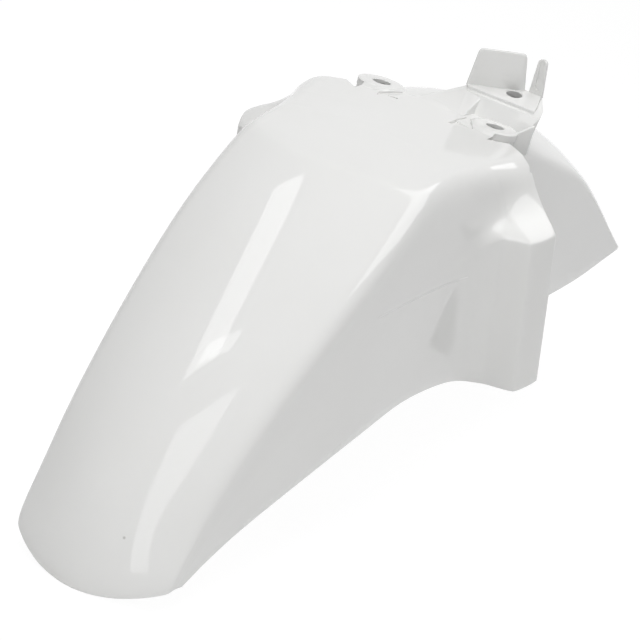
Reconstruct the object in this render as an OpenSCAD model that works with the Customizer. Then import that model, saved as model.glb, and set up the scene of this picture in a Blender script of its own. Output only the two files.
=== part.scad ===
// Front mudguard for a scooter: one gloss moulded skin that covers the wheel from
// the tongue tip at the front to the tail behind the fork, with a shield in front
// of each fork leg and a raised seat on top for the screws of the fork bridge.
// The origin lies midway between the two front screw holes, on the face of the seat:
// X is the width, the tongue reaches to -Y, Z stands square on the seat. Sizes in mm.

/* [Skin] */
// Wall thickness of the moulded skin
wall = 2.6; // [2:0.1:4]
// Reach of the tongue tip in front of the fork
tongue_reach = 356; // [320:1:400]
// Half width of the tongue at its side crease
crease_half = 68; // [62:0.5:76]
// Rise of the crown above the side creases
crown_rise = 13; // [6:0.5:20]
// Half width over the fork shields
shield_half = 119.5; // [112:0.5:130]
// Roundness of the fold beside each shield, as a share of the faces beside it
fold_share = 0.14; // [0.08:0.01:0.4]
// Roundness of the front corner of each shield, as a share of the faces beside it
corner_share = 0.32; // [0.26:0.01:0.4]
// Height of the lower edge of the fork shields
shield_foot = 5; // [-10:0.5:20]

/* [Tail] */
// Half width of the channel between the fork legs and of the tail
channel_half = 61; // [55:0.5:63]
// Reach of the tail end behind the fork
tail_reach = 309; // [280:1:340]
// Drop of the tail end below the foot of the shields
tail_drop = 143; // [120:1:170]

/* [Screw seat] */
// Distance between the two front screw holes
hole_spacing = 87; // [70:0.5:100]
// Diameter of the front screw holes
hole_d = 12.6; // [8:0.1:14]
// Diameter of the rear screw hole
rear_hole_d = 11; // [6:0.1:12]
// Backward tilt of the seat
seat_tilt = 33; // [30:0.5:36]
// Radius of the raised pad around each front hole
pad_r = 15.5; // [12:0.5:18]
// Height of the raised pads
pad_rise = 5; // [2:0.25:8]
// Reach of the slope around the pads
pad_slope = 6; // [1:0.5:8]

/* [Guide bracket] */
// Height of the broad tab
tab_h = 27; // [15:0.5:40]
// Width of the broad tab at its foot
tab_w = 41; // [30:0.5:46]
// Width of the broad tab at its top
tab_top_w = 33; // [20:0.5:40]
// Height of the slim tab
slim_h = 26; // [20:0.5:50]
// Width of the slim tab
slim_w = 8.5; // [6:0.25:12]
// Width of the groove in the slim tab
groove_w = 3; // [1:0.1:3.5]

/* [Hidden] */
$fn = 48;
cuts = 3;                       // facets per control step along the skin
turns = 2;                      // facets per control step around the section
// The key lines are drawn with the wheel standing upright; there the seat has this place.
seat_y = 102.6;
seat_z = 150;
ky = tongue_reach / 356;
kc = crease_half / 68;
flare = shield_half - 119.5;
fold_row = 10;                  // control row of the fold between flank and shield

// Key lines of the front skin from the tip to its rear edge. Each line is a row of
// control points; the smooth skin follows the net they span.
crown_line = [[0, -354, 132.5], [0, -351, 147], [0, -322, 169], [0, -280, 189],
    [0, -225, 207], [0, -165, 220], [0, -105, 228], [0, -60, 229.5], [0, -22, 221],
    [0, 8, 205], [0, 38, 187.5], [0, 70, 168.5], [0, 90, 157], [0, 104, 149]];
crease_line = [[53, -330, 134], [54, -324, 145.5], [55, -296, 158.5],
    [58, -262, 176.5], [62, -215, 192], [66.5, -160, 204.5], [69.5, -105, 213.5],
    [69.5, -62, 217.5], [68.2, -21.2, 213.5], [70.3, 1.9, 201], [74.7, 25.3, 187],
    [79.2, 51.3, 174], [82.2, 65.3, 166.5], [83, 74.5, 161.5]];
flank_line = [[54.5, -325, 134.1], [55, -320, 142.5], [56, -296, 153],
    [59, -262, 165], [63, -214.5, 176], [67.3, -160, 182], [70.3, -107, 184],
    [70.5, -65, 182], [70.5, -25, 176], [74, 4, 168], [81, 24, 158],
    [92, 42, 148.5], [97, 58, 141], [97, 64, 138]];
brow_line = [[55.5, -322, 134.3], [55.8, -318, 139], [57, -296, 145],
    [59.5, -262, 150], [63.5, -214, 151], [67, -160, 148], [70, -110, 145],
    [71, -68, 141], [73, -30, 136], [79, 2, 140], [93, 19, 143], [113, 24, 142],
    [119.5, 42, 136], [119.5, 47, 134]];
edge_line = [[56, -318, 134.5], [56.3, -313, 134], [57, -296, 130.5],
    [59.5, -262, 121.5], [63, -212, 106.5], [66.5, -160, 90], [69.5, -115, 75.5],
    [71, -75, 61], [73, -36, 38], [77, -8, 20], [92, 4, 13], [113, 11, 8.5],
    [119.5, 28, 5], [119.5, 33, 3]];

// Key lines of the tail behind the seat: roof, shoulder and lower edge, [y, z].
roof_line = [[88, 157.5], [122, 142.5], [161.5, 110.5], [206.5, 61.5], [248, 6.5],
    [283, -54], [308.5, -111], [310, -143]];
shoulder_line = [[84, 154], [111, 129], [142.5, 95.5], [182, 51], [224.5, 1.5],
    [257, -54.5], [286, -110], [303, -142]];
skirt_line = [[66, -13], [100, -33], [136, -54], [170, -74], [205, -95], [236, -112],
    [272, -129], [301, -143]];

function mid(a, b) = (a + b) / 2;
function blend(a, b, t) = a + (b - a) * t;
function arc3(a, b, c, t) = blend(blend(a, b, t), blend(b, c, t), t);

// Smooth curve through a row of control points, t counted in control steps.
function smooth(p, t) =
    let (n = len(p), i = min(floor(t), n - 3) + 1)
    arc3(i == 1 ? p[0] : mid(p[i - 1], p[i]), p[i],
         i == n - 2 ? p[n - 1] : mid(p[i], p[i + 1]), t - i + 1);
function steps(p, k) = [for (i = [0 : (len(p) - 2) * k]) smooth(p, i / k)];

// Driving sizes act on the control points.
function sized(p) = [p[0] > 85 ? p[0] + flare : p[0] * kc, p[1] < 0 ? p[1] * ky : p[1], p[2]];
function tailed(p) = [p[0], 88 + (p[1] - 88) * (tail_reach - 88) / 221,
                      p[2] > 0 ? p[2] : p[2] * tail_drop / 143];
function flip(p) = [-p[0], p[1], p[2]];

// Point on the crown, f of the way from its crest a to its crease b.
function crown(a, b, f) = [b[0] * f, blend(a[1], b[1], f * f), blend(a[2], b[2], f * f)];

// A line with its fold and its front corner drawn tight: each becomes two points.
function tight(p) = let (f = fold_row) concat(
    [for (i = [0 : f - 1]) p[i]],
    [for (i = [f, f + 1], to = [-1, 1])
        blend(p[i], p[i + to], i == f ? fold_share : corner_share)],
    [for (i = [f + 2 : len(p) - 1]) p[i]]);
crest = tight(crown_line);
crease = tight(crease_line);
flank = tight(flank_line);
brow = tight(brow_line);
edge = tight(edge_line);

// Half of a control section, from the crown down to the edge. Two points keep the
// corner between the top and the front of the shield tight.
function front_half(i) =
    let (top = crest[i] + [0, 0, i > 0 ? crown_rise - 13 : 0], side = crease[i],
         low = edge[i] + [0, 0, i > 8 ? shield_foot - 5 : 0])
    [for (p = [top, crown(top, side, 0.45), crown(top, side, 0.82), side, flank[i],
               blend(brow[i], flank[i], corner_share), blend(brow[i], low, corner_share / 4),
               mid(brow[i], low), low]) sized(p)];
function tail_half(i) =
    let (a = [0, roof_line[i][0], roof_line[i][1]],
         b = [channel_half, shoulder_line[i][0], shoulder_line[i][1]],
         c = [channel_half, skirt_line[i][0], skirt_line[i][1]])
    [for (p = [a, crown(a, b, 0.45), crown(a, b, 0.85), b, blend(b, c, 0.12),
               blend(b, c, 0.5), c]) tailed(p)];
function both(h) = let (n = len(h)) concat([for (j = [n - 1 : -1 : 1]) flip(h[j])], h);

// Fine grid of the skin that a control net spans.
function column(net, j) = [for (r = net) r[j]];
function skin(net) =
    let (long = [for (j = [0 : len(net[0]) - 1]) steps(column(net, j), cuts)])
    [for (i = [0 : len(long[0]) - 1]) steps([for (c = long) c[i]], turns)];
front = skin([for (i = [0 : len(crest) - 1]) both(front_half(i))]);
tail = skin([for (i = [0 : len(roof_line) - 1]) both(tail_half(i))]);

// Inner face of a skin: each grid point moved inward along the surface normal.
function near(g, i, j) = g[max(0, min(len(g) - 1, i))][max(0, min(len(g[0]) - 1, j))];
function unit(v) = v / norm(v);
function out(g, i, j) = unit(cross(near(g, i, j + 1) - near(g, i, j - 1),
                                   near(g, i + 1, j) - near(g, i - 1, j)));
function inset(g, d) = [for (i = [0 : len(g) - 1])
    [for (j = [0 : len(g[0]) - 1]) g[i][j] - d * out(g, i, j)]];

// Closed wall between a grid and its inner face.
module walled(g, d) {
    n = len(g);
    m = len(g[0]);
    q = n * m;
    inner = inset(g, d);
    ring = concat([for (j = [0 : m - 2]) j], [for (i = [0 : n - 2]) i * m + m - 1],
        [for (j = [m - 1 : -1 : 1]) (n - 1) * m + j], [for (i = [n - 1 : -1 : 1]) i * m]);
    r = len(ring);
    polyhedron(
        points = concat([for (row = g) each row], [for (row = inner) each row]),
        faces = concat(
            [for (i = [0 : n - 2], j = [0 : m - 2], k = [0, 1]) let (a = i * m + j)
                k == 0 ? [a, a + m + 1, a + 1] : [a, a + m, a + m + 1]],
            [for (i = [0 : n - 2], j = [0 : m - 2], k = [0, 1]) let (a = q + i * m + j)
                k == 0 ? [a, a + 1, a + m + 1] : [a, a + m + 1, a + m]],
            [for (i = [0 : r - 1], k = [0, 1]) let (a = ring[i], b = ring[(i + 1) % r])
                k == 0 ? [a, b, q + b] : [a, q + b, q + a]]));
}

// Height of the crown at x = w along one grid row, as [y, z].
function cross_at(row, w) =
    let (h = floor(len(row) / 2), k = [for (j = [h : len(row) - 2])
             if (row[j][0] <= w && row[j + 1][0] > w) j][0],
         t = (w - row[k][0]) / (row[k + 1][0] - row[k][0]), p = blend(row[k], row[k + 1], t))
    [p[1], p[2]];

// Wall between the wheel and the fork leg, from the tongue flank to the tail.
module channel_wall() {
    w = channel_half - 0.4;
    roof = [for (r = front) if (r[len(r) - 1][0] > w + 5) let (p = cross_at(r, w - wall / 2)) if (p[0] > -12 && p[0] < 86) p];
    n = len(roof);
    intersection() {
        translate([0, 0, -60]) linear_extrude(300)
            polygon([[w - wall, -10], [w, -10], [w, 80], [w - wall, 80]]);
        rotate([90, 0, 90]) linear_extrude(90)
            polygon(concat([for (p = roof) [p[0], p[1] - wall / 2]],
                [[80, -20], [40, -3], [0, 18], [-12, 26]]));
    }
    translate([0, 0, 50]) linear_extrude(130)
        polygon([[w, -9], [w - wall, -9], [69.8 * kc - wall, -48], [69.8 * kc, -48]]);
}

// Seat frame: origin midway between the front holes, x across, y down the slope.
module on_seat() { translate([0, seat_y, seat_z]) rotate([-seat_tilt, 0, 0]) children(); }
module on_platform() { on_seat() translate([0, 12, 12]) rotate([12, 0, 0]) children(); }
module both_sides() { children(); mirror([1, 0, 0]) children(); }

pad_x = hole_spacing / 2;
pad_foot = 14;                  // depth of the pads under the seat
pad_gap = 1;                    // from a pad to the pit or notch beside it
cut_low = -30;                  // pits and notches run from here
cut_high = 10;                  // up to here
pit_plan = [[20.5, -28], [34, -27], [36, -20], [24, 2], [22, -10]];
notch_plan = [[50, -28], [64.5, -15], [73, -17], [86, -30], [96, -10], [96, 30], [50, 30], [50, 14]];
left_foot = [[-27, -4], [20, -15], [22, 10], [2, 46]];
left_top = [[10, 8], [6, 13]];
right_foot = [[14, 10], [57, 10], [64, 16], [48, 48], [2, 46]];
ledge_plan = [[10, 7], [66, 5.5], [63, 18], [54, 37], [41, 37], [6, 13]];
raised_plan = [[9, 10], [60, 9.5], [58, 19], [53, 36.5], [41, 36.5], [7, 13]];
ledge_drop = 2;                 // from the raised platform to the ledge around it
function centre(p) = [for (k = [0, 1]) let (s = [for (q = p) q[k]]) (min(s) + max(s)) / 2];
function drawn_in(p, d) = let (c = centre(p)) [for (q = p) q - d * unit(q - c)];

// Body from a foot sunk in the seat up to the ledge, smaller all round by d.
module rise(foot, top, d) {
    hull() {
        on_seat() translate([0, 0, -13 - d]) linear_extrude(6) polygon(drawn_in(foot, d));
        on_platform() translate([0, 0, -ledge_drop - d - 1]) linear_extrude(1)
            polygon(drawn_in(top, d));
    }
}
module saddle(d) {
    rise(left_foot, concat(left_top, [[22, 11]]), d);
    rise(right_foot, ledge_plan, d);
}

// Thin web from the rim of the right pad up to the corner of the saddle.
module web() {
    on_seat() translate([57.5, 2, 0]) rotate([90, 0, 54]) linear_extrude(wall, center = true)
        polygon([[0, -pad_foot], [14, -pad_foot], [14, 7], [0, -0.6]]);
}

// Pads with a gentle slope to the crown, cut square towards the pits and notches.
module pads() {
    on_seat() translate([pad_x, 0, -pad_foot]) {
        cylinder(r = pad_r + pad_gap / 2, h = pad_foot - pad_rise);
        translate([0, 0, pad_foot - pad_rise])
            cylinder(r1 = pad_r + pad_gap + pad_slope, r2 = pad_r, h = pad_rise);
    }
}
module beside_pad(plan) {
    on_seat() translate([0, 0, cut_low]) linear_extrude(cut_high - cut_low) difference() {
        polygon(plan);
        translate([pad_x, 0]) circle(pad_r + pad_gap);
    }
}

// Upright plate with a narrower top, standing on the x axis.
module tab(foot_w, top_w, h, r) {
    translate([0, wall / 2, -1.5]) rotate([90, 0, 0]) linear_extrude(wall) {
        polygon([[-foot_w / 2, 0], [foot_w / 2, 0], [top_w / 2, h + 1.5 - r],
            [top_w / 2 - r, h + 1.5], [r - top_w / 2, h + 1.5], [-top_w / 2, h + 1.5 - r]]);
        for (x = [r - top_w / 2, top_w / 2 - r]) translate([x, h + 1.5 - r]) circle(r);
    }
}

rear_hole = [38, 24];           // place of the rear hole on the platform
broad_at = [23.8, 24];
broad_turn = 32.5;
slim_at = [48.8, 36.5];
groove_foot = 4;                // height at which the groove starts

module mudguard() {
    color("white") rotate([seat_tilt, 0, 0]) translate([0, -seat_y, -seat_z])
    difference() {
        union() {
            difference() {
                union() {
                    walled(front, wall);
                    both_sides() pads();
                }
                both_sides() beside_pad(pit_plan);
                both_sides() beside_pad(notch_plan);
            }
            walled(tail, wall);
            both_sides() channel_wall();
            difference() { saddle(0); saddle(wall); }
            web();
            on_platform() translate([0, 0, -ledge_drop - 0.5])
                linear_extrude(ledge_drop + 0.5) polygon(raised_plan);
            on_platform() translate(broad_at) rotate([0, 0, broad_turn])
                tab(tab_w, tab_top_w, tab_h, 3);
            on_platform() translate(slim_at) difference() {
                tab(slim_w + 2, slim_w - 2, slim_h, 3);
                translate([-groove_w / 2, -wall, groove_foot])
                    cube([groove_w, wall - 0.4, slim_h]);
            }
        }
        both_sides() on_seat() translate([pad_x, 0, -pad_foot - 2]) {
            cylinder(r1 = pad_r - 1, r2 = pad_r - wall, h = pad_foot + 2 - wall);
            cylinder(d = hole_d, h = 2 * pad_foot);
        }
        on_platform() translate([rear_hole.x, rear_hole.y, -2 * wall - ledge_drop])
            cylinder(d = rear_hole_d, h = 4 * wall + ledge_drop);
    }
}

mudguard();
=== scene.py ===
"""Front mudguard of a scooter, one gloss white moulding, on a plain white floor."""

import math

import bmesh
import bpy
from mathutils import Matrix, Vector


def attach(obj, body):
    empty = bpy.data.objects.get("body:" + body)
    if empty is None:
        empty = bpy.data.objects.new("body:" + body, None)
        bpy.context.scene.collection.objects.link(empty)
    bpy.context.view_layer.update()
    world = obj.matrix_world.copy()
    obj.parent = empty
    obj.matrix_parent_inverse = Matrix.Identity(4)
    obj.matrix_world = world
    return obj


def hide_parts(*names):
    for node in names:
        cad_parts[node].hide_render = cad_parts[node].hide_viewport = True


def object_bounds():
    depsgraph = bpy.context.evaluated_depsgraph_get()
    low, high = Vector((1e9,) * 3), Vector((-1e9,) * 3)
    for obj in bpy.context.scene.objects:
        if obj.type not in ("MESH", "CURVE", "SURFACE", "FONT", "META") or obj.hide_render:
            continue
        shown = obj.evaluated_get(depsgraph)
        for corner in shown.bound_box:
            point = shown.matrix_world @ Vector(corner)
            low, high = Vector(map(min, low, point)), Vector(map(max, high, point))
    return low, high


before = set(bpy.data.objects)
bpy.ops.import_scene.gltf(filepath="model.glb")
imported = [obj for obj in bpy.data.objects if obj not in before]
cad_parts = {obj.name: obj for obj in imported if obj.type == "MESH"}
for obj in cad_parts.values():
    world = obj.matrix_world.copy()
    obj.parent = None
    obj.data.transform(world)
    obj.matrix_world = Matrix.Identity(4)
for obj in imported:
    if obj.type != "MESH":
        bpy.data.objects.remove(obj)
cad_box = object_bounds()


# The view: the shape is drawn in millimetres with the wheel standing upright, and then
# laid back on its screw seat, which is how the part is kept. The camera looks at the
# upright mudguard from the front right and well above.
SEAT = Vector((0, 102.6, 150))
SEAT_TILT = math.radians(33)
AIM, DISTANCE = Vector((0, -57, 85)), 1983.3
laid_back = Matrix.Rotation(SEAT_TILT, 4, "X")
to_part = Matrix.Scale(0.001, 4) @ laid_back @ Matrix.Translation(-SEAT)

azimuth, elevation = math.radians(30), math.radians(48)
back = Vector((math.sin(azimuth) * math.cos(elevation),
               -math.cos(azimuth) * math.cos(elevation), math.sin(elevation)))
right = Vector((math.cos(azimuth), math.sin(azimuth), 0))
axes = Matrix((right, back.cross(right), back)).transposed()
camera = bpy.data.objects.new("camera", bpy.data.cameras.new("camera"))
camera.data.lens = 168.75
camera.data.clip_end = 20
camera.matrix_world = (Matrix.Translation(to_part @ (AIM + back * DISTANCE))
                       @ laid_back @ axes.to_4x4())
bpy.context.scene.collection.objects.link(camera)
bpy.context.scene.camera = camera


# The front skin: the tongue over the tyre, the crown and the shields before the fork
# legs, injection moulded in one even wall. A net of key lines, from the tip to the rear
# edge, shapes a grid, which is then given its thickness inwards and a rounded rim.
WALL = 2.6
RIM_TURN, RIM_ROUND = 60, 0.9
FOLD_ROW, FOLD_SHARE, CORNER_SHARE, SOFT_SHARE = 10, 0.14, 0.12, 0.45
crown_line = [
    (0, -353.8, 132.9), (0, -353.5, 139.5), (0, -322, 169), (0, -280, 189), (0, -225, 207),
    (0, -165, 220), (0, -105, 228), (0, -58, 230.4), (0, -46, 227.6), (0, 8, 205),
    (0, 38, 187.5), (0, 70, 168.5), (0, 90, 157), (0, 104, 149)]
crease_line = [
    (53, -330, 134), (54.3, -327, 140), (55, -296, 158.5), (58, -262, 176.5),
    (62, -215, 192), (66.5, -160, 204.5), (69.5, -105, 213.5), (69.3, -40, 218),
    (68.5, -24, 214.8), (70.3, 1.9, 201), (74.7, 25.3, 187), (79.2, 51.3, 174),
    (82.2, 65.3, 166.5), (83, 74.5, 161.5)]
flank_line = [
    (54.5, -325, 134.1), (55, -322.5, 138.5), (56, -296, 153), (59, -262, 165),
    (63, -214.5, 176), (67.6, -160, 184), (71.4, -107, 192), (73.5, -68, 190),
    (76.5, -31, 174), (80.5, 5, 157), (81, 30, 150), (90, 47, 146), (95, 60, 142),
    (96, 66, 139)]
brow_line = [
    (55.5, -322, 133.2), (55.8, -319.5, 136.5), (57, -296, 145), (59.5, -262, 150),
    (63.5, -214, 151), (67.4, -160, 148), (71, -110, 147), (73.3, -69, 145),
    (76.3, -31, 140), (82.5, 1, 141), (93, 19, 143), (113, 24, 142), (119.5, 42, 136),
    (119.5, 47, 134)]
edge_line = [
    (56, -318, 130.5), (56.3, -312, 129.5), (57, -296, 127.5), (59.5, -262, 121.5),
    (63, -212, 106.5), (66.5, -160, 90), (69.5, -115, 75.5), (71, -75, 61), (73, -36, 38),
    (77, -8, 20), (92, 4, 13), (113, 11, 8.5), (119.5, 28, 5), (119.5, 33, 3)]


def on_crown(crest, crease, share):
    """Point of the crown, share of the way from its crest to its crease."""
    bowed = crest.lerp(crease, share * share)
    return Vector((crease.x * share, bowed.y, bowed.z))


def mirrored(half):
    """Section across both sides, from the half of it on the right."""
    return [Vector((-p.x, p.y, p.z)) for p in half[:0:-1]] + half


def split(line, fold, corner):
    """The line with two points each at its fold and its front corner, this far apart as a
    share of the faces beside them: a small share keeps the turn tight."""
    p, f = [Vector(point) for point in line], FOLD_ROW
    return (p[:f] + [p[f].lerp(p[f - 1], fold), p[f].lerp(p[f + 1], fold)]
            + [p[f + 1].lerp(p[f], corner), p[f + 1].lerp(p[f + 2], corner)] + p[f + 2:])


def front_section(crest, crease, flank, brow, edge):
    """Control points across the front skin, from its left edge to its right one."""
    return mirrored([crest, on_crown(crest, crease, 0.42), on_crown(crest, crease, 0.74),
                     crease, flank, brow.lerp(flank, CORNER_SHARE),
                     brow.lerp(edge, CORNER_SHARE / 5), (brow + edge) / 2, edge])


def smooth(line, t):
    """Point of the smooth curve through a row of control points, t in control steps."""
    last = len(line) - 2
    i = min(int(t), last - 1) + 1
    a = line[0] if i == 1 else (line[i - 1] + line[i]) / 2
    c = line[-1] if i == last else (line[i] + line[i + 1]) / 2
    s = t - i + 1
    return a.lerp(line[i], s).lerp(line[i].lerp(c, s), s)


def moulded_skin(name, net, cuts, turns):
    """Grid over a net of control points, with its wall and its rounded rim. Each control
    step gets so many cuts along the part and so many turns across it."""
    long, round_ = len(net) - 2, len(net[0]) - 2
    bm = bmesh.new()
    bmesh.ops.create_grid(bm, x_segments=round_ * turns, y_segments=long * cuts, size=1)
    rows = {}
    for v in bm.verts:
        step = round((v.co.y + 1) / 2 * long * cuts)
        if step not in rows:
            rows[step] = [smooth(column, step / cuts) for column in zip(*net)]
        v.co = smooth(rows[step], round((v.co.x + 1) / 2 * round_ * turns) / turns)
    skin = placed(name, bm)
    wall = skin.modifiers.new("wall", "SOLIDIFY")
    wall.thickness, wall.offset = WALL, -1
    wall.use_quality_normals, wall.material_offset = True, 1
    baked(skin)
    round_edges(skin, RIM_TURN, RIM_ROUND)
    return skin


def placed(name, bm):
    """The bmesh as an object at the origin."""
    obj = bpy.data.objects.new(name, bpy.data.meshes.new(name))
    bm.to_mesh(obj.data)
    bm.free()
    bpy.context.scene.collection.objects.link(obj)
    obj.data.materials.append(gloss_white)
    obj.data.materials.append(bare_inside)
    return obj


def baked(obj):
    """Applies the modifiers of an object."""
    graph = bpy.context.evaluated_depsgraph_get()
    mesh = bpy.data.meshes.new_from_object(obj.evaluated_get(graph))
    obj.modifiers.clear()
    obj.data = mesh


def round_edges(obj, sharper_than, size, segments=2):
    """Rounds each edge that turns by more than so many degrees."""
    bm = bmesh.new()
    bm.from_mesh(obj.data)
    limit = math.radians(sharper_than)
    edges = [e for e in bm.edges if e.is_manifold and e.calc_face_angle(0) > limit]
    bmesh.ops.bevel(bm, geom=edges, offset=size, offset_type="OFFSET", segments=segments,
                    profile=0.5, affect="EDGES", clamp_overlap=True, material=-1)
    bm.to_mesh(obj.data)
    bm.free()


def combined(obj, operation, others):
    """Adds the others to the object, or cuts them out of it, and removes them."""
    for other in others:
        step = obj.modifiers.new("step", "BOOLEAN")
        step.operation, step.solver, step.object = operation, "MANIFOLD", other
        baked(obj)
        bpy.data.objects.remove(other)
    return obj


gloss_white = bpy.data.materials.new("gloss_moulded_plastic")
bare_inside = bpy.data.materials.new("bare_moulded_inside")

front_net = [front_section(*points) for points in zip(
    *[split(line, SOFT_SHARE, SOFT_SHARE) for line in (crown_line, crease_line, flank_line)],
    *[split(line, FOLD_SHARE, CORNER_SHARE) for line in (brow_line, edge_line)])]
mudguard = moulded_skin("mudguard_moulding", front_net, cuts=12, turns=8)


# The tail behind the fork: a curved roof with a straight skirt on each side, moulded in
# one with the front skin, and the two walls that run on from it beside the wheel, so
# that the fork legs stand outside them.
CHANNEL_HALF = 61
WALL_INSET, WALL_FROM, WALL_TO = 0.4, -12, 86
roof_line = [(88, 157.5), (122, 142.5), (161.5, 110.5), (206.5, 61.5), (248, 6.5),
             (283, -54), (308.5, -111), (310, -143)]
shoulder_line = [(84, 154), (111, 129), (142.5, 95.5), (182, 51), (224.5, 1.5),
                 (257, -54.5), (286, -110), (303, -142)]
skirt_line = [(66, -13), (100, -33), (136, -54), (170, -74), (205, -95), (236, -112),
              (272, -129), (301, -143)]


def tail_section(roof, shoulder, skirt):
    """Control points across the tail, from three points in y and z."""
    a, b, c = (Vector((x, *p)) for x, p in
               ((0, roof), (CHANNEL_HALF, shoulder), (CHANNEL_HALF, skirt)))
    return mirrored([a, on_crown(a, b, 0.45), on_crown(a, b, 0.85), b, b.lerp(c, 0.12),
                     b.lerp(c, 0.5), c])


def thickened(name, bm, thickness, place):
    """Flat face of a bmesh thickened along z, then put in place."""
    top = bmesh.ops.extrude_face_region(bm, geom=list(bm.faces))["geom"]
    bmesh.ops.translate(bm, vec=(0, 0, thickness),
                        verts=[v for v in top if isinstance(v, bmesh.types.BMVert)])
    bmesh.ops.recalc_face_normals(bm, faces=bm.faces)
    bmesh.ops.transform(bm, matrix=place, verts=bm.verts)
    return placed(name, bm)


def plate(name, outline, thickness, place):
    """Flat plate from an outline in x and y."""
    bm = bmesh.new()
    bm.faces.new([bm.verts.new((x, y, 0)) for x, y in outline])
    return thickened(name, bm, thickness, place)


def flipped(obj):
    """The same piece on the other side."""
    bm = bmesh.new()
    bm.from_mesh(obj.data)
    bmesh.ops.transform(bm, matrix=Matrix.Scale(-1, 4, (1, 0, 0)), verts=bm.verts)
    bmesh.ops.reverse_faces(bm, faces=bm.faces)
    return placed(obj.name + "_left", bm)


def skin_point(t, x):
    """Point of the front skin at x in its grid row t."""
    row = [smooth(column, t) for column in zip(*front_net)]
    u, step = len(row) / 2 - 1, 0.02
    while smooth(row, u).x < x:
        u += step
    return smooth(row, u)


tail_net = [tail_section(*points) for points in zip(roof_line, shoulder_line, skirt_line)]
tail = moulded_skin("tail", tail_net, cuts=12, turns=6)

wall_x = CHANNEL_HALF - WALL_INSET
top_edge = [skin_point(8 + 0.125 * k, wall_x - WALL / 2) for k in range(49)]
top_edge = [p for p in top_edge if WALL_FROM < p.y < WALL_TO]
# A plan in x and y becomes one in y and z, and its thickness runs along x.
upright = Matrix(((0, 0, 1, 0), (1, 0, 0, 0), (0, 1, 0, 0), (0, 0, 0, 1)))
channel_wall = plate("channel_wall", [(p.y, p.z - WALL / 2) for p in top_edge]
                     + [(80, -20), (40, -3), (0, 18), (WALL_FROM, 26)],
                     WALL, Matrix.Translation((wall_x - WALL, 0, 0)) @ upright)
front_strip = plate("front_strip", [(wall_x, -9), (wall_x - WALL, -9),
                                    (69.8 - WALL, -48), (69.8, -48)],
                    130, Matrix.Translation((0, 0, 50)))


# The screw seat: the flat rear of the crown, where two screws hold the mudguard under
# the fork bridge. Each hole has a raised pad with a gentle slope, a shallow blind pit on
# its inner side and a notch through the wall on its outer side, all in the one moulding.
HOLE_SPACING, HOLE_D, REAR_HOLE_D = 87, 12.6, 11
PAD_R, PAD_RISE, PAD_FOOT, PAD_SLOPE, PAD_GAP = 15.5, 5, 14, 6, 1
BORE_DEPTH, CHAMFER, NOTCH_DEPTH, HOLLOW_HEIGHT = 16, 0.5, 30, 40
PIT_DEPTH, PIT_SLOPE = 1.9, math.radians(4.8)
on_seat = Matrix.Translation(SEAT) @ Matrix.Rotation(-SEAT_TILT, 4, "X")
over_pads = [on_seat @ Matrix.Translation((side * HOLE_SPACING / 2, 0, 0)) for side in (1, -1)]
pit_plan = [(20.5, -28), (34, -27), (36, -20), (24, 2), (22, -10)]
notch_plan = [(50, -28), (64.5, -15), (73, -17), (86, -30), (96, -10), (96, 30), (50, 30),
              (50, 14)]


def turned(name, profile, place):
    """Round solid from a half outline in radius and height, which starts and ends at 0."""
    bm = bmesh.new()
    points = [bm.verts.new((r, 0, z)) for r, z in profile]
    edges = [bm.edges.new(pair) for pair in zip(points, points[1:])]
    bmesh.ops.spin(bm, geom=points + edges, axis=(0, 0, 1), cent=(0, 0, 0),
                   angle=math.tau, steps=96, use_merge=True)
    bmesh.ops.remove_doubles(bm, verts=bm.verts, dist=0.001)
    bmesh.ops.recalc_face_normals(bm, faces=bm.faces)
    bmesh.ops.transform(bm, matrix=place, verts=bm.verts)
    return placed(name, bm)


def cylinder(name, r, low, high, place):
    """Solid cylinder between two heights."""
    return turned(name, [(0, low), (r, low), (r, high), (0, high)], place)


def bore(r, place, depth):
    """Through hole with a small chamfer at its mouth."""
    return turned("bore", [(0, -depth), (r, -depth), (r, -CHAMFER), (r + 2 * CHAMFER, CHAMFER),
                           (0, CHAMFER)], place)


combined(mudguard, "UNION", [turned("pad", [
    (0, -PAD_FOOT), (PAD_R + PAD_GAP / 2, -PAD_FOOT), (PAD_R + PAD_GAP / 2, -PAD_RISE),
    (PAD_R + PAD_GAP + PAD_SLOPE, -PAD_RISE), (PAD_R + 1.4, -1), (PAD_R + 0.5, -0.45),
    (PAD_R - 0.6, -0.1), (PAD_R - 1.8, 0), (0, 0)], place) for place in over_pads])
pit_floor = Matrix.Translation((0, 0, -PIT_DEPTH)) @ Matrix.Rotation(PIT_SLOPE, 4, "X")
notch_floor = Matrix.Translation((0, 0, -NOTCH_DEPTH))
for plan, low in ((pit_plan, pit_floor), (notch_plan, notch_floor)):
    hollow = plate("hollow", plan, HOLLOW_HEIGHT, on_seat @ low)
    combined(hollow, "DIFFERENCE", [cylinder(
        "beside_pad", PAD_R + PAD_GAP, -HOLLOW_HEIGHT, HOLLOW_HEIGHT / 2, over_pads[0])])
    combined(mudguard, "DIFFERENCE", [flipped(hollow), hollow])
combined(mudguard, "UNION", [tail, flipped(channel_wall), channel_wall,
                             flipped(front_strip), front_strip])


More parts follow.
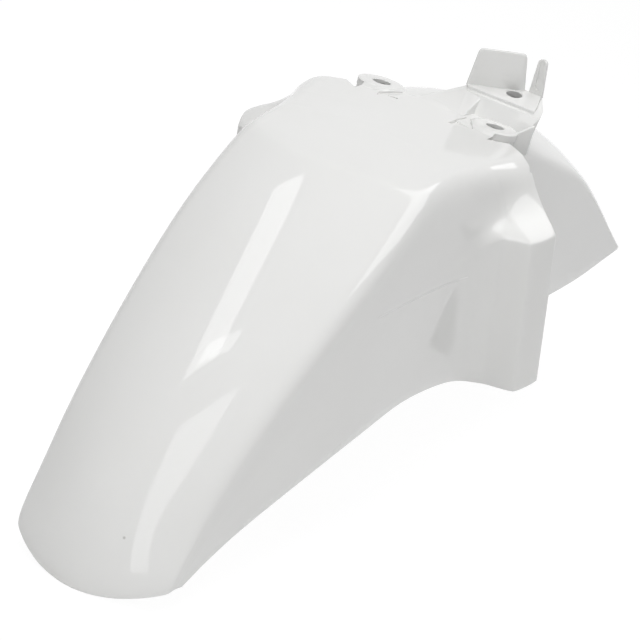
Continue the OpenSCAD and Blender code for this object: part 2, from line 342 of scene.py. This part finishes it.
# The guide bracket: a hollow saddle rises behind the right pad to a ledge with a small
# raised platform, which has the rear screw hole, a broad tab and a slim grooved tab that
# keep the brake hose away from the wheel. A thin web joins the pad to the saddle.
PLATFORM_TILT, BROAD_TURN, WEB_TURN = math.radians(12), math.radians(32.5), math.radians(54)
on_platform = (on_seat @ Matrix.Translation((0, 12, 12))
               @ Matrix.Rotation(PLATFORM_TILT, 4, "X"))
left_foot, left_top = [(-27, -4), (20, -15), (22, 10), (2, 46)], [(10, 8), (6, 13), (22, 11)]
right_foot = [(14, 10), (57, 10), (64, 16), (48, 48), (2, 46)]
ledge_plan = [(10, 7), (66, 5.5), (63, 18), (54, 37), (41, 37), (6, 13)]
raised_plan = [(9, 10), (60, 9.5), (58, 19), (53, 36.5), (41, 36.5), (7, 13)]
LEDGE_DROP = 2
SADDLE_TURN, SADDLE_ROUND = 20, 1.2
TAB_H, TAB_W, TAB_TOP_W, TAB_CORNER = 27, 41, 33, 3
SLIM_H, SLIM_W, SLIM_TAPER, GROOVE_W, GROOVE_FOOT, GROOVE_WALL = 26, 8.5, 2, 3, 4, 0.4
EDGE_ROUND, WEB_ROUND = 0.5, 0.6


def drawn_in(outline, by):
    """The outline with each point drawn this far towards its middle."""
    points = [Vector(p) for p in outline]
    centre = Vector([(min(p[k] for p in points) + max(p[k] for p in points)) / 2
                     for k in (0, 1)])
    return [p - (p - centre).normalized() * by for p in points]


def rise(foot, top, by):
    """Convex body from a foot sunk in the seat up to the ledge, smaller all round."""
    bm = bmesh.new()
    for x, y in drawn_in(foot, by):
        for z in (-13 - by, -7 - by):
            bm.verts.new(on_seat @ Vector((x, y, z)))
    for x, y in drawn_in(top, by):
        bm.verts.new(on_platform @ Vector((x, y, -LEDGE_DROP - by)))
        bm.verts.new(on_platform @ Vector((x, y, -LEDGE_DROP - by - 1)))
    bmesh.ops.convex_hull(bm, input=bm.verts)
    bmesh.ops.delete(bm, geom=[v for v in bm.verts if not v.link_faces], context="VERTS")
    bmesh.ops.dissolve_limit(bm, angle_limit=math.radians(1), verts=bm.verts,
                             edges=bm.edges)
    bmesh.ops.recalc_face_normals(bm, faces=bm.faces)
    return placed("rise", bm)


def tab(name, foot_w, top_w, height, place):
    """Upright tapered tab with rounded top corners, standing on the x axis."""
    bm = bmesh.new()
    corners = [(-foot_w / 2, -1.5), (foot_w / 2, -1.5), (top_w / 2, height),
               (-top_w / 2, height)]
    bm.faces.new([bm.verts.new((x, z, 0)) for x, z in corners])
    bm.verts.ensure_lookup_table()
    bmesh.ops.bevel(bm, geom=list(bm.verts)[2:4], offset=TAB_CORNER, segments=6,
                    profile=0.5, affect="VERTICES", material=-1)
    stand = Matrix.Translation((0, WALL / 2, 0)) @ Matrix.Rotation(math.pi / 2, 4, "X")
    obj = thickened(name, bm, WALL, place @ stand)
    round_edges(obj, RIM_TURN, EDGE_ROUND)
    return obj


outer = rise(left_foot, left_top, 0)
outer_right = rise(right_foot, ledge_plan, 0)
for half in (outer, outer_right):
    round_edges(half, SADDLE_TURN, SADDLE_ROUND, 3)
combined(outer, "UNION", [outer_right])
combined(outer, "DIFFERENCE", [rise(left_foot, left_top, WALL),
                               rise(right_foot, ledge_plan, WALL)])
sunk = LEDGE_DROP + 0.5
raised = plate("raised", raised_plan, sunk, on_platform @ Matrix.Translation((0, 0, -sunk)))
round_edges(raised, 45, EDGE_ROUND)
web = plate("web", [(0, -PAD_FOOT), (14, -PAD_FOOT), (14, 7), (0, -0.6)], WALL,
            on_seat @ Matrix.Translation((57.5, 2, 0)) @ Matrix.Rotation(WEB_TURN, 4, "Z")
            @ Matrix.Rotation(math.pi / 2, 4, "X") @ Matrix.Translation((0, 0, -WALL / 2)))
round_edges(web, RIM_TURN, WEB_ROUND)
broad = tab("broad_tab", TAB_W, TAB_TOP_W, TAB_H, on_platform
            @ Matrix.Translation((23.8, 24, 0)) @ Matrix.Rotation(BROAD_TURN, 4, "Z"))
slim_place = on_platform @ Matrix.Translation((48.8, 36.5, 0))
slim = tab("slim_tab", SLIM_W + SLIM_TAPER, SLIM_W - SLIM_TAPER, SLIM_H, slim_place)
groove = plate("groove", [(-GROOVE_W / 2, -WALL), (GROOVE_W / 2, -WALL),
                          (GROOVE_W / 2, -GROOVE_WALL), (-GROOVE_W / 2, -GROOVE_WALL)],
               SLIM_H, slim_place @ Matrix.Translation((0, 0, GROOVE_FOOT)))
combined(slim, "DIFFERENCE", [groove])
combined(mudguard, "UNION", [outer, raised, web, broad, slim])
for place in over_pads:
    combined(mudguard, "DIFFERENCE", [
        turned("pad_hollow", [(0, -PAD_FOOT - 2), (PAD_R - 1, -PAD_FOOT - 2),
                              (PAD_R - WALL, -WALL), (0, -WALL)], place),
        bore(HOLE_D / 2, place, BORE_DEPTH)])
combined(mudguard, "DIFFERENCE", [
    bore(REAR_HOLE_D / 2, on_platform @ Matrix.Translation((38, 24, 0)),
         2 * WALL + LEDGE_DROP)])

mudguard.data.transform(to_part)
for face in mudguard.data.polygons:
    face.use_smooth = True
mudguard.data.set_sharp_from_angle(angle=math.radians(32))
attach(mudguard, "root")
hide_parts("mudguard")


# Gloss white plastic, injection moulded in a polished tool, so the gloss ripples faintly and
# is a little uneven from handling, with hairline scuffs, one long scratch on the right wall
# and a dark speck near the tip. The inside comes from a blasted tool half and is satin; its
# grain and the scuffs are drawn coarser than they are, so that they show.
def linear(hex_colour):
    """sRGB hex to linear RGBA."""
    parts = [int(hex_colour[i:i + 2], 16) / 255 for i in (1, 3, 5)]
    return (*[c / 12.92 if c <= 0.04045 else ((c + 0.055) / 1.055) ** 2.4 for c in parts], 1)


def node(tree, kind, inputs, **fields):
    """Adds a node, sets its fields, and gives each named or numbered input its value or
    its link."""
    made = tree.nodes.new(kind)
    for field, value in fields.items():
        setattr(made, field, value)
    for name, value in inputs.items():
        if isinstance(value, bpy.types.NodeSocket):
            tree.links.new(value, made.inputs[name])
        else:
            made.inputs[name].default_value = value
    return made


def spots(mm):
    """Noise scale for spots about so many millimetres wide."""
    return 1000 / mm


SPECK = to_part @ Vector((21, -324, 162))
SCRATCH = to_part @ Vector((0, -106, 174.4)), to_part @ Vector((0, -5, 122))
for material in (gloss_white, bare_inside):
    material.use_nodes = True
    material.node_tree.nodes["Principled BSDF"].inputs["IOR"].default_value = 1.5

tree = gloss_white.node_tree
shader = tree.nodes["Principled BSDF"].inputs
place = node(tree, "ShaderNodeTexCoord", {}).outputs["Object"]
to_speck = node(tree, "ShaderNodeVectorMath", {0: place, 1: SPECK},
                operation="DISTANCE").outputs["Value"]
speck = node(tree, "ShaderNodeMapRange", {
    "Value": to_speck, "From Min": 0.0008, "From Max": 0.0016, "To Min": 1, "To Max": 0})

# The scratch is a line seen square from the side, on the right half alone.
along = SCRATCH[1] - SCRATCH[0]
side_view = node(tree, "ShaderNodeVectorMath", {0: place, 1: (0, 1, 1)}, operation="MULTIPLY")
to_start = node(tree, "ShaderNodeVectorMath", {0: side_view.outputs[0], 1: SCRATCH[0]},
                operation="SUBTRACT").outputs[0]
reach = node(tree, "ShaderNodeVectorMath", {0: to_start, 1: along / along.length_squared},
             operation="DOT_PRODUCT").outputs["Value"]
held = node(tree, "ShaderNodeMapRange", {"Value": reach}).outputs[0]
on_line = node(tree, "ShaderNodeVectorMath", {0: along, "Scale": held}, operation="SCALE")
to_scratch = node(tree, "ShaderNodeVectorMath", {0: to_start, 1: on_line.outputs[0]},
                  operation="DISTANCE").outputs["Value"]
mark = node(tree, "ShaderNodeMapRange", {
    "Value": to_scratch, "From Min": 0.0002, "From Max": 0.0007, "To Min": 0.6, "To Max": 0})
across = node(tree, "ShaderNodeSeparateXYZ", {0: place}).outputs["X"]
on_right = node(tree, "ShaderNodeMapRange", {
    "Value": across, "From Min": 0.06, "From Max": 0.061})
scratch = node(tree, "ShaderNodeMath", {0: mark.outputs[0], 1: on_right.outputs[0]},
               operation="MULTIPLY").outputs[0]

tint = node(tree, "ShaderNodeTexNoise", {"Vector": place, "Scale": spots(90), "Detail": 3})
colour = node(tree, "ShaderNodeMix", {
    0: tint.outputs[0], 6: linear("#EDEDEC"), 7: linear("#E9E9E7")}, data_type="RGBA")
colour = node(tree, "ShaderNodeMix", {
    0: scratch, 6: colour.outputs[2], 7: linear("#F6F6F5")}, data_type="RGBA")
colour = node(tree, "ShaderNodeMix", {
    0: speck.outputs[0], 6: colour.outputs[2], 7: linear("#9C9A95")}, data_type="RGBA")
tree.links.new(colour.outputs[2], shader["Base Color"])

drawn_out = node(tree, "ShaderNodeMapping", {"Vector": place, "Scale": (1, 0.04, 1)})
hairlines = node(tree, "ShaderNodeTexNoise", {
    "Vector": drawn_out.outputs[0], "Scale": spots(1.6), "Detail": 1})
scuffs = node(tree, "ShaderNodeMapRange", {
    "Value": hairlines.outputs[0], "From Min": 0.7, "From Max": 0.78, "To Max": 0.16})
touched = node(tree, "ShaderNodeTexNoise", {"Vector": place, "Scale": spots(35), "Detail": 5})
handled = node(tree, "ShaderNodeMapRange", {
    "Value": touched.outputs[0], "From Min": 0.35, "From Max": 0.7,
    "To Min": 0.018, "To Max": 0.045})
rough = node(tree, "ShaderNodeMath", {0: scuffs.outputs[0], 1: handled.outputs[0]},
             operation="ADD")
rough = node(tree, "ShaderNodeMath", {0: rough.outputs[0], 1: scratch}, operation="ADD")
tree.links.new(rough.outputs[0], shader["Roughness"])

waves = node(tree, "ShaderNodeTexNoise", {"Vector": place, "Scale": spots(5)})
ripple = node(tree, "ShaderNodeBump", {"Height": waves.outputs[0], "Distance": 0.00001})
tree.links.new(ripple.outputs[0], shader["Normal"])

tree = bare_inside.node_tree
shader = tree.nodes["Principled BSDF"].inputs
place = node(tree, "ShaderNodeTexCoord", {}).outputs["Object"]
tint = node(tree, "ShaderNodeTexNoise", {"Vector": place, "Scale": spots(60), "Detail": 4})
colour = node(tree, "ShaderNodeMix", {
    0: tint.outputs[0], 6: linear("#E6E6E4"), 7: linear("#DFDFDC")}, data_type="RGBA")
tree.links.new(colour.outputs[2], shader["Base Color"])
shader["Roughness"].default_value = 0.4
blasted = node(tree, "ShaderNodeTexNoise", {"Vector": place, "Scale": spots(0.6)})
grain = node(tree, "ShaderNodeBump", {"Height": blasted.outputs[0], "Distance": 0.00002})
tree.links.new(grain.outputs[0], shader["Normal"])


# The studio: a white floor that keeps only a faint shadow, an even white room, and soft
# lamps above and behind the mudguard. Two overhead strips, a long low box and a thin tube
# show in the gloss; the four large panels only light the part.
ROOM_LIGHT, GLOW, GLOW_SHARE = 0.12, 1.07, 0.9


def seen(tree):
    """1 for what is seen directly, in a reflection or through glass, and 0 for other light."""
    path = node(tree, "ShaderNodeLightPath", {}).outputs
    direct = node(tree, "ShaderNodeMath", {
        0: path["Is Camera Ray"], 1: path["Is Glossy Ray"]}, operation="MAXIMUM")
    return node(tree, "ShaderNodeMath", {
        0: direct.outputs[0], 1: path["Is Transmission Ray"]}, operation="MAXIMUM").outputs[0]


room = bpy.data.worlds.new("room")
bpy.context.scene.world = room
room.use_nodes = True
tree = room.node_tree
background = tree.nodes["Background"].inputs
background["Color"].default_value = (1, 1, 1, 1)
strength = node(tree, "ShaderNodeMapRange", {"Value": seen(tree), "To Min": ROOM_LIGHT})
tree.links.new(strength.outputs[0], background["Strength"])


def softbox(name, centre, aim, width, height, power, turn=0, lights=True, gloss=True):
    """Rectangular lamp around the upright mudguard, in millimetres and degrees."""
    lamp = bpy.data.objects.new(name, bpy.data.lights.new(name, "AREA"))
    lamp.data.shape = "RECTANGLE"
    lamp.data.size, lamp.data.size_y = width / 1000, height / 1000
    lamp.data.energy = power
    look = (Vector(aim) - Vector(centre)).to_track_quat("-Z", "Y").to_matrix().to_4x4()
    place = (to_part @ Matrix.Translation(centre) @ look
             @ Matrix.Rotation(math.radians(turn), 4, "Z"))
    lamp.location, lamp.rotation_euler = place.to_translation(), place.to_euler()
    lamp.visible_diffuse, lamp.visible_glossy = lights, gloss
    bpy.context.scene.collection.objects.link(lamp)


softbox("back_strip", (-602, 473, 1700), (-602, 473, 0), 270, 1300, 2.8, 30)
softbox("back_strip_end", (-225, 24, 1690), (-225, 24, 0), 270, 110, 0.22, 20)
softbox("front_strip", (772, -1287, 1700), (772, -1287, 0), 520, 2400, 7, 30)
softbox("side_box", (768, 1073, 896), (60, -60, 215), 1500, 1240, 13.5, lights=False)
softbox("tube", (-1430, -1580, 1700), (-1430, -1580, 0), 60, 2180, 0.6, -32)
for name, centre, power in (
        ("top_panel", (0, 500, 2000), 17), ("back_panel", (300, 1500, 1200), 8.5),
        ("right_panel", (1500, 200, 900), 3), ("front_panel", (700, -1350, 600), 5.5)):
    softbox(name, centre, (0, -60, 150), 1200, 1200, power, gloss=False)

floor_bm = bmesh.new()
bmesh.ops.create_grid(floor_bm, x_segments=1, y_segments=1, size=8)
bmesh.ops.translate(floor_bm, verts=floor_bm.verts, vec=(0, 0, cad_box[0].z))
floor = bpy.data.objects.new("floor", bpy.data.meshes.new("floor"))
floor_bm.to_mesh(floor.data)
floor_bm.free()
bpy.context.scene.collection.objects.link(floor)
white_floor = bpy.data.materials.new("white_floor")
white_floor.use_nodes = True
floor.data.materials.append(white_floor)
tree = white_floor.node_tree
plain = tree.nodes["Principled BSDF"]
plain.inputs["Base Color"].default_value = linear("#F4F4F4")
plain.inputs["Roughness"].default_value = 0.9
glow = node(tree, "ShaderNodeEmission", {"Strength": GLOW})
share = node(tree, "ShaderNodeMath", {0: seen(tree), 1: GLOW_SHARE}, operation="MULTIPLY")
mix = node(tree, "ShaderNodeMixShader", {
    0: share.outputs[0], 1: plain.outputs[0], 2: glow.outputs[0]})
tree.links.new(mix.outputs[0], tree.nodes["Material Output"].inputs["Surface"])
bpy.context.scene.view_settings.view_transform = "Standard"
